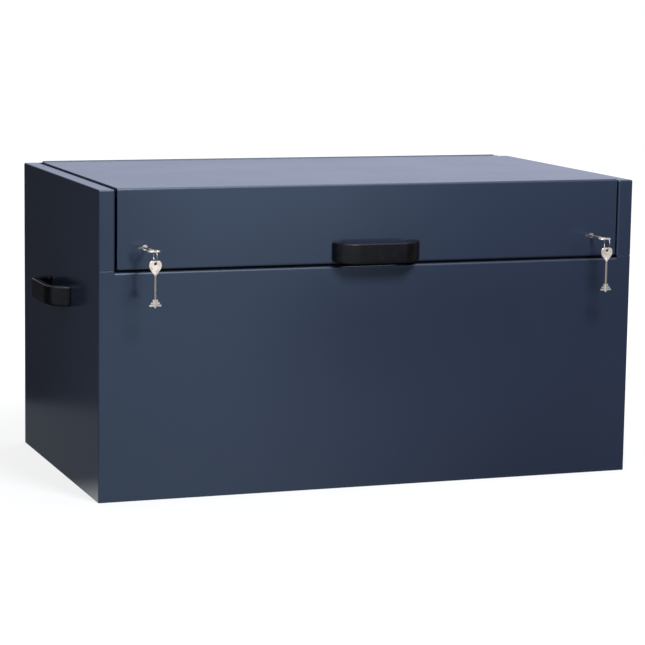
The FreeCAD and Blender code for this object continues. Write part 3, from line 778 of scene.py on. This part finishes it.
@dataclass
class Key:
    """Flat shield-bowed safe key with a round shank and stepped double bits; sizes in millimetres.

    It is drawn hanging from Z = 0, its bow up, and then put in place.
    """

    name: str
    place: Matrix
    finish: bpy.types.Material
    length: float = 96.0
    thick: float = 2.8
    bow_width: float = 26.0
    bow_height: float = 29.5
    bow_inset: float = 1.8
    bow_foot: float = 2.2
    bow_edge: float = 0.45
    shoulder_down: float = 0.24
    waist_down: float = 0.47
    top_round: float = 5.0
    shoulder_round: float = 3.0
    waist_round: float = 4.0
    hole_radius: float = 3.2
    hole_down: float = 6.2
    shank_radius: float = 2.4
    shank_root: tuple[float, float, float] = (8.0, 7.0, 3.0)
    shank_neck: float = 0.7
    shank_tip: float = 0.8
    bit_length: float = 14.0
    bit_end: float = 3.5
    bit_halves: tuple[float, ...] = (5.6, 9.2, 12.5)
    bit_foot: float = 2.0
    bit_edge: float = 0.3
    cut_width: float = 1.1
    cut_half: float = 3.8

    def bow(self) -> bpy.types.Mesh:
        """Shield with rounded shoulders and a ring hole.

        Returns:
            The bow's mesh, in place.
        """
        half, foot = self.bow_width / 2, -self.bow_height
        shoulder, waist = self.shoulder_down * foot, self.waist_down * foot
        right = [(half - self.bow_inset, 0.0), (half, shoulder), (half, waist), (self.bow_foot, foot)]
        left = [(-x, z) for x, z in right]
        rounded = ((self.top_round, (0, 1)), (self.shoulder_round, (2, 7)), (self.waist_round, (3, 6)))
        solid = Solid()
        solid.outline(left[:1] + right + left[:0:-1],
                      {corner: radius for radius, corners in rounded for corner in corners})
        solid.pierce(0.0, -self.hole_down, self.hole_radius)
        solid.thicken(self.thick)
        solid.soften(self.bow_edge)
        return solid.mesh(self.name + "_bow", self.place)

    def shank(self) -> bpy.types.Mesh:
        """Round shank that starts inside the bow, on a narrower neck, and ends in a rounded tip.

        Returns:
            The shank's mesh, in place.
        """
        radius, end = self.shank_radius, -self.length
        start, neck, full = (rise - self.bow_height for rise in self.shank_root)
        solid = Solid()
        solid.stepped_rod([(0.0, start), (radius * self.shank_neck, neck), (radius, full),
                           (radius, end + self.shank_tip), (radius - self.shank_tip, end), (0.0, end)])
        return solid.mesh(self.name + "_shank", self.place)

    def bits(self) -> bpy.types.Mesh:
        """Stepped bits on both sides of the shank, with a narrow cut between the steps.

        Returns:
            The bits' mesh, in place.
        """
        low = self.bit_end - self.length
        rise = self.bit_length / len(self.bit_halves)
        side: list[Corner] = []
        for index, half in enumerate(reversed(self.bit_halves)):
            foot = low + index * rise
            top = foot + rise - self.cut_width
            side += [(half, foot), (half, top), (self.cut_half, top), (self.cut_half, foot + rise)]
        last = low + self.bit_length
        side[-3:] = [(self.bit_halves[0], last), (self.bit_foot, last)]
        solid = Solid()
        solid.outline(side + [(-x, z) for x, z in reversed(side)])
        solid.thicken(self.thick)
        solid.soften(self.bit_edge)
        return solid.mesh(self.name + "_bits", self.place)

    def build(self) -> bpy.types.Object:
        """Fuses the key, notes each point's depth for its finish, and puts it on its own body.

        Returns:
            The key's object.
        """
        mesh = united(self.name, [self.bow(), self.shank(), self.bits()])
        upright = self.place.inverted() @ Matrix.Scale(1.0 / MM, 4)
        depth = mesh.attributes.new(KeyPlate.depth_name, "FLOAT", "POINT")
        depth.data.foreach_set("value", [-(upright @ v.co).z / self.length for v in mesh.vertices])
        made = piece(self.name + "_cut", mesh, self.finish, self.name, self.name)
        weigh_normals(made)
        return made


@dataclass
class SplitRing:
    """Split ring of two turns of round wire about an X axis; sizes in millimetres."""

    name: str
    centre: Vector
    finish: bpy.types.Material
    mean: float = 13.2
    wire: float = 0.34
    play: float = 0.02
    turns: int = 2

    def build(self) -> bpy.types.Object:
        """Winds the ring and puts it on its own body.

        Returns:
            The ring's object.
        """
        solid = Solid()
        solid.coil(self.mean, self.wire, 2 * self.wire + self.play, self.turns)
        mesh = solid.mesh(self.name, Matrix.Translation(self.centre))
        return piece(self.name + "_wound", mesh, self.finish, self.name, self.name)


@dataclass(frozen=True)
class FloorMirror:
    """Colours that the floor has in reflections, as soft light from the front leaves it; in metres.

    The chest's flat front mirrors the floor before it. A point of the floor is traced back to the width of
    the front that mirrors it, and to how far out it lies. Near points show low on the panel, farther ones
    high on it, and the farthest in the lid's front, which has a bright crest. The left side mirrors the
    floor to the left: its foot the light floor close by, and the rest of it the dim floor beyond.
    """

    box_front: float = -0.33
    slant: float = 0.39
    widening: float = 0.212
    panel_light: Colour = (1.08, 1.08, 1.08)
    near_dark: Colour = (0.20, 0.15, 0.17)
    near_fade: Span = (-0.45, 0.42)
    far_dark: Colour = (0.02, 0.01, 0.01)
    far_fade: Span = (-0.34, 0.02)
    near_to_far: Span = (0.9, 2.9)
    lid_light: Colour = (1.88, 1.85, 1.81)
    lid_dark: Colour = (0.24, 0.24, 0.28)
    lid_start: Span = (3.35, 3.75)
    crest_rise: Span = (-0.72, -0.28)
    crest_fall: Span = (-0.20, 0.24)
    crest_out: Span = (3.4, 6.4)
    crest_strength: Span = (0.70, 1.18)
    left_floor: Colour = (0.140, 0.150, 0.168)
    left_floor_end: Span = (1.03, 1.18)
    left_fore: Colour = (0.066, 0.074, 0.098)
    left_far: Colour = (0.034, 0.034, 0.036)
    left_wall: float = 0.6
    left_slant: float = 3.95
    left_fade: Span = (0.20, -0.34)
    rear_floor: Colour = (0.62, 0.60, 0.58)
    rear_start: Span = (-0.55, 0.25)
    front_start: Span = (-0.05, -0.40)

    def front(self, graph: NodeGraph, axes: dict[str, Socket]) -> Socket:
        """Colour of the floor that the panel and the lid's front mirror.

        Args:
            graph: Node tree that it is built in.
            axes: Sockets of the tree's X, Y and Z.

        Returns:
            The colour's socket.
        """
        out = graph.math("MAXIMUM", graph.math("SUBTRACT", self.box_front, axes["Y"]), 0.0)
        shifted = graph.math("SUBTRACT", axes["X"], graph.math("MULTIPLY", out, self.slant))
        spread = graph.math("ADD", graph.math("MULTIPLY", out, self.widening), 1.0)
        width = graph.math("DIVIDE", shifted, spread)
        near, far = (graph.mix(graph.ramp(width, fade, smooth=True), self.panel_light, dark)
                     for fade, dark in ((self.near_fade, self.near_dark), (self.far_fade, self.far_dark)))
        panel = graph.mix(graph.ramp(out, self.near_to_far), near, far)
        rise = graph.ramp(width, self.crest_rise, smooth=True)
        fall = graph.ramp(width, self.crest_fall, (1.0, 0.0), smooth=True)
        strength = graph.ramp(out, self.crest_out, self.crest_strength)
        crest = graph.math("MULTIPLY", graph.math("MULTIPLY", rise, fall), strength)
        lid = graph.mix(crest, self.lid_dark, self.lid_light)
        return graph.mix(graph.ramp(out, self.lid_start, smooth=True), panel, lid)

    def left(self, graph: NodeGraph, axes: dict[str, Socket]) -> Socket:
        """Colour of the floor that the left side mirrors, darker towards the side's rear.

        Args:
            graph: Node tree that it is built in.
            axes: Sockets of the tree's X, Y and Z.

        Returns:
            The colour's socket.
        """
        out = graph.math("ADD", axes["X"], self.left_wall)
        along = graph.math("ADD", axes["Y"], graph.math("MULTIPLY", out, self.left_slant))
        beyond = graph.mix(graph.ramp(along, self.left_fade), self.left_far, self.left_fore)
        past_floor = graph.ramp(graph.distance(), self.left_floor_end, smooth=True)
        return graph.mix(past_floor, self.left_floor, beyond)

    def colour(self, graph: NodeGraph) -> Socket:
        """Colour of the whole floor in reflections.

        Args:
            graph: Node tree that it is built in.

        Returns:
            The colour's socket.
        """
        axes = graph.axes()
        rear_share = graph.ramp(axes["X"], self.rear_start, smooth=True)
        behind = graph.mix(rear_share, self.left(graph, axes), self.rear_floor)
        front_share = graph.ramp(axes["Y"], self.front_start, smooth=True)
        return graph.mix(front_share, behind, self.front(graph, axes))


@dataclass(frozen=True)
class Floor:
    """Round floor, white to the camera and dimmer in reflections; lengths in metres."""

    mirror: FloorMirror
    radius: float = 9.0
    sides: int = 96
    height: float = -0.5 * MM
    matt_colour: Colour = (0.20, 0.20, 0.20)
    glow: Span = (0.80, 1.0)
    glow_reach: Span = (0.8, 1.5)

    def build(self) -> None:
        """Makes the floor."""
        bm = bmesh.new()
        bmesh.ops.create_circle(bm, cap_ends=True, segments=self.sides, radius=self.radius,
                                matrix=Matrix.Translation((0, 0, self.height)))
        mesh = bpy.data.meshes.new("floor")
        bm.to_mesh(mesh)
        bm.free()
        disc = bpy.data.objects.new("floor", mesh)
        bpy.context.scene.collection.objects.link(disc)
        mesh.materials.append(self.material())

    def material(self) -> bpy.types.Material:
        """Glowing white to the camera, with its own glow in reflections, and matt grey to all other light.

        Returns:
            The material.
        """
        graph = FinishGraph("white_floor")
        output = graph.tree.nodes["Material Output"]
        graph.tree.nodes.remove(graph.shader)
        gloss = graph.add("ShaderNodeEmission")
        graph.link(self.mirror.colour(graph), gloss.inputs["Color"])
        seen = graph.add("ShaderNodeEmission")
        graph.link(graph.ramp(graph.distance(), self.glow_reach, self.glow), seen.inputs["Strength"])
        matt = graph.add("ShaderNodeBsdfDiffuse", Color=(*self.matt_colour, 1.0))
        white = graph.add("ShaderNodeAddShader")
        paths = graph.add("ShaderNodeLightPath")
        visible = graph.add("ShaderNodeMixShader")
        final = graph.add("ShaderNodeMixShader")
        for source, target in ((seen.outputs[0], white.inputs[0]), (matt.outputs[0], white.inputs[1]),
                               (paths.outputs["Is Camera Ray"], visible.inputs[0]),
                               (matt.outputs[0], visible.inputs[1]), (white.outputs[0], visible.inputs[2]),
                               (paths.outputs["Is Glossy Ray"], final.inputs[0]),
                               (visible.outputs[0], final.inputs[1]), (gloss.outputs[0], final.inputs[2]),
                               (final.outputs[0], output.inputs["Surface"])):
            graph.link(source, target)
        return graph.material


@dataclass(frozen=True)
class Room:
    """Room round the chest: white to the camera, with its own colours in reflections and as soft light.

    Each span is a stretch of one axis of the direction looked in, from -1 to 1.
    """

    mirror: FloorMirror
    front_fade: Span = (0.28, 0.48)
    backdrop_left: Colour = (0.565, 0.605, 0.770)
    backdrop_right: Colour = (0.620, 0.665, 0.845)
    backdrop_fade: Span = (0.25, 0.50)
    left_end: Span = (-0.20, 0.15)
    front_turn: Span = (0.30, -0.35)
    high_left: Colour = (6.4, 5.2, 4.4)
    high_right: Colour = (1.7, 1.6, 1.5)
    high_fade: Span = (0.30, 0.42)
    dome: Colour = (0.95, 0.98, 1.05)
    dome_turn: Span = (-0.40, 0.10)
    high_start: Span = (0.26, 0.66)
    fill_low: Colour = (0.16, 0.17, 0.19)
    fill_high: Colour = (0.55, 0.57, 0.60)
    fill_rise: Span = (-0.2, 0.7)
    fill_front: Colour = (0.09, 0.10, 0.11)
    fill_front_turn: Span = (0.5, -0.6)
    fill_left: Colour = (0.36, 0.40, 0.44)
    fill_left_turn: Span = (-0.05, -0.55)
    white: Colour = (1.0, 1.0, 1.0)

    def mirrored(self, graph: NodeGraph, axes: dict[str, Socket]) -> Socket:
        """Colour of the room in reflections: dark to the left, with bright lights high in front.

        Args:
            graph: Node tree that it is built in.
            axes: Sockets of the tree's X, Y and Z.

        Returns:
            The colour's socket.
        """
        front = graph.mix(graph.ramp(axes["X"], self.front_fade, smooth=True),
                          self.mirror.lid_light, self.mirror.lid_dark)
        backdrop = graph.mix(graph.ramp(axes["X"], self.backdrop_fade),
                             self.backdrop_left, self.backdrop_right)
        back = graph.mix(graph.ramp(axes["X"], self.left_end, smooth=True), self.mirror.left_far, backdrop)
        around = graph.mix(graph.ramp(axes["Y"], self.front_turn, smooth=True), back, front)
        high = graph.mix(graph.ramp(axes["X"], self.high_fade, smooth=True), self.high_left, self.high_right)
        upper = graph.mix(graph.ramp(axes["Y"], self.dome_turn, smooth=True), high, self.dome)
        return graph.mix(graph.ramp(axes["Z"], self.high_start, smooth=True), around, upper)

    def fill(self, graph: NodeGraph, axes: dict[str, Socket]) -> Socket:
        """Colour of the room's soft light: more from above and from the left, little from the front.

        Args:
            graph: Node tree that it is built in.
            axes: Sockets of the tree's X, Y and Z.

        Returns:
            The colour's socket.
        """
        above = graph.mix(graph.ramp(axes["Z"], self.fill_rise, smooth=True), self.fill_low, self.fill_high)
        lit = graph.mix(graph.ramp(axes["Y"], self.fill_front_turn, smooth=True), above, self.fill_front)
        return graph.mix(graph.ramp(axes["X"], self.fill_left_turn, smooth=True), lit, self.fill_left)

    def build(self) -> None:
        """Makes the room as the scene's world."""
        world = bpy.data.worlds.new("studio_room")
        bpy.context.scene.world = world
        world.use_nodes = True
        world.node_tree.nodes.clear()
        graph = NodeGraph(world.node_tree, "Generated")
        axes = graph.axes()
        paths = graph.add("ShaderNodeLightPath").outputs
        unseen = graph.mix(paths["Is Glossy Ray"], self.fill(graph, axes), self.mirrored(graph, axes))
        direct = graph.math("MAXIMUM", paths["Is Camera Ray"], paths["Is Transmission Ray"])
        background = graph.add("ShaderNodeBackground")
        graph.link(graph.mix(direct, unseen, self.white), background.inputs["Color"])
        graph.link(background.outputs[0], graph.add("ShaderNodeOutputWorld").inputs["Surface"])


@dataclass(frozen=True)
class Lamp:
    """Soft square lamp; place, aim and size in metres, power in watts."""

    name: str
    place: Point
    aim: Point
    size: float
    power: float
    colour: Colour = (1.0, 1.0, 1.0)
    matt: bool = True
    gloss: bool = True

    def build(self) -> None:
        """Hangs the lamp, to light matt surfaces, to show in reflections, or both."""
        data = bpy.data.lights.new(self.name, "AREA")
        data.shape, data.size, data.energy, data.color = "SQUARE", self.size, self.power, self.colour
        lamp = bpy.data.objects.new(self.name, data)
        lamp.visible_diffuse, lamp.visible_glossy = self.matt, self.gloss
        bpy.context.scene.collection.objects.link(lamp)
        lamp.location = self.place
        lamp.rotation_euler = (Vector(self.aim) - Vector(self.place)).to_track_quat("-Z", "Y").to_euler()


@dataclass(frozen=True)
class Studio:
    """White studio: a floor and room that read white, their dimmer mirror images, and soft lamps."""

    mirror: FloorMirror = FloorMirror()
    chest_middle: Point = (-0.1, 0.0, 0.35)
    floor_middle: Point = (0.0, 0.0, 0.3)

    def lamps(self) -> list[Lamp]:
        """The matt surfaces' key light, the light that rims and edges catch, and a fill from above."""
        return [
            Lamp("key", (0.25, -2.4, 2.35), self.chest_middle, 0.85, 90.0, (0.97, 1.0, 1.04), gloss=False),
            Lamp("edge_gloss", (-0.6, -2.4, 2.0), self.chest_middle, 1.5, 75.0, matt=False),
            Lamp("top_fill", (0.2, 0.6, 3.2), self.floor_middle, 2.4, 46.0),
        ]

    def build(self) -> None:
        """Makes floor, room and lamps."""
        Floor(self.mirror).build()
        Room(self.mirror).build()
        for lamp in self.lamps():
            lamp.build()
            LOG.info("lamp %s, %.0f watts", lamp.name, lamp.power)


@dataclass(frozen=True)
class PhotoCamera:
    """The photograph's camera; lengths in metres, angles in degrees."""

    azimuth: float = -20.1109
    elevation: float = 8.5263
    roll: float = 0.8553
    distance: float = 5.425516
    target: Point = (0.004526, 0.0, 0.304557)
    focal_pixels: float = 2416.793
    frame_pixels: float = 645.0
    sensor: float = 36.0
    clip: Span = (0.1, 100.0)

    def build(self) -> None:
        """Places the camera and makes it the scene's."""
        azimuth, elevation, roll = (math.radians(x) for x in (self.azimuth, self.elevation, self.roll))
        level = math.cos(elevation)
        back = Vector((math.sin(azimuth) * level, -math.cos(azimuth) * level, math.sin(elevation)))
        right = (-back).cross(Vector((0, 0, 1))).normalized()
        up = right.cross(-back)
        across = math.cos(roll) * right + math.sin(roll) * up
        rise = -math.sin(roll) * right + math.cos(roll) * up
        data = bpy.data.cameras.new("photo_camera")
        data.sensor_width = self.sensor
        data.lens = self.focal_pixels * self.sensor / self.frame_pixels
        data.clip_start, data.clip_end = self.clip
        camera = bpy.data.objects.new("photo_camera", data)
        bpy.context.scene.collection.objects.link(camera)
        matrix = Matrix((across, rise, back)).transposed().to_4x4()
        matrix.translation = Vector(self.target) + back * self.distance
        camera.matrix_world = matrix
        bpy.context.scene.camera = camera
        LOG.info("camera at %s", tuple(round(x, 3) for x in matrix.translation))


@dataclass
class SheetBody:
    """Nodes of the frame that show as they are, dressed in their finishes."""

    nodes: dict[str, bpy.types.Object]
    slots: dict[str, str]
    finishes: dict[Slot, bpy.types.Material]

    def build(self) -> None:
        """Gives each node the finish of its slot."""
        for name, node in sorted(self.nodes.items()):
            finish = self.finishes[Slot(self.slots[name])]
            if not node.material_slots:
                node.data.materials.append(finish)
            for material_slot in node.material_slots:
                material_slot.material = finish
            LOG.info("%s dressed in %s", name, finish.name)


@dataclass
class Fittings:
    """The handles, keys and rings, modelled in full in place of the frame's plain ones."""

    finishes: dict[Slot, bpy.types.Material]

    def handles(self) -> None:
        """Front and side handles, each turned to its own face."""
        plastic = self.finishes[Slot.PLASTIC]
        _, middle, high = spot("front_handle")
        place = Matrix.Translation((middle.x, high.y, middle.z))
        BridgeHandle("front_handle", "lid", place, plastic).build()
        for side in Side:
            name = side.word + "_handle"
            low, middle, high = spot(name)
            wall = low.x if side is Side.RIGHT else high.x
            turn = Matrix.Rotation(math.radians(90 * side.value), 4, "Z")
            place = Matrix.Translation((wall, middle.y, middle.z)) @ turn
            BridgeHandle(name, "chest", place, plastic).build()

    def keys(self, side: Side) -> None:
        """The inserted key, the ring and the hanging key of one lock.

        Args:
            side: Side of the chest that the lock is on.
        """
        nickel, wire = self.finishes[Slot.KEY], self.finishes[Slot.RING]
        low, middle, _ = spot(side.word + "_lock_key")
        lying = Matrix.Rotation(math.radians(90), 4, "X")
        Key(side.word + "_lock_key", Matrix.Translation((middle.x, low.y, middle.z)) @ lying, nickel).build()
        _, middle, high = spot(side.word + "_spare_key")
        Key(side.word + "_spare_key", Matrix.Translation((middle.x, middle.y, high.z)), nickel).build()
        SplitRing(side.word + "_key_ring", spot(side.word + "_key_ring")[1], wire).build()

    def build(self) -> None:
        """Makes every fitting."""
        self.handles()
        for side in Side:
            self.keys(side)


def main() -> None:
    """Loads the frame, dresses it, and builds the fittings and the studio."""
    logging.basicConfig(level=logging.INFO, format="%(name)s: %(message)s")
    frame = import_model()
    bpy.context.scene.view_settings.view_transform = "Standard"
    PhotoCamera().build()
    finishes = make_finishes()
    slots = {row["node"]: row["material_slot"] for row in frame["record"]["subparts"]}
    SheetBody(frame["nodes"], slots, finishes).build()
    Fittings(finishes).build()
    Studio().build()


if __name__ == "__main__":
    main()
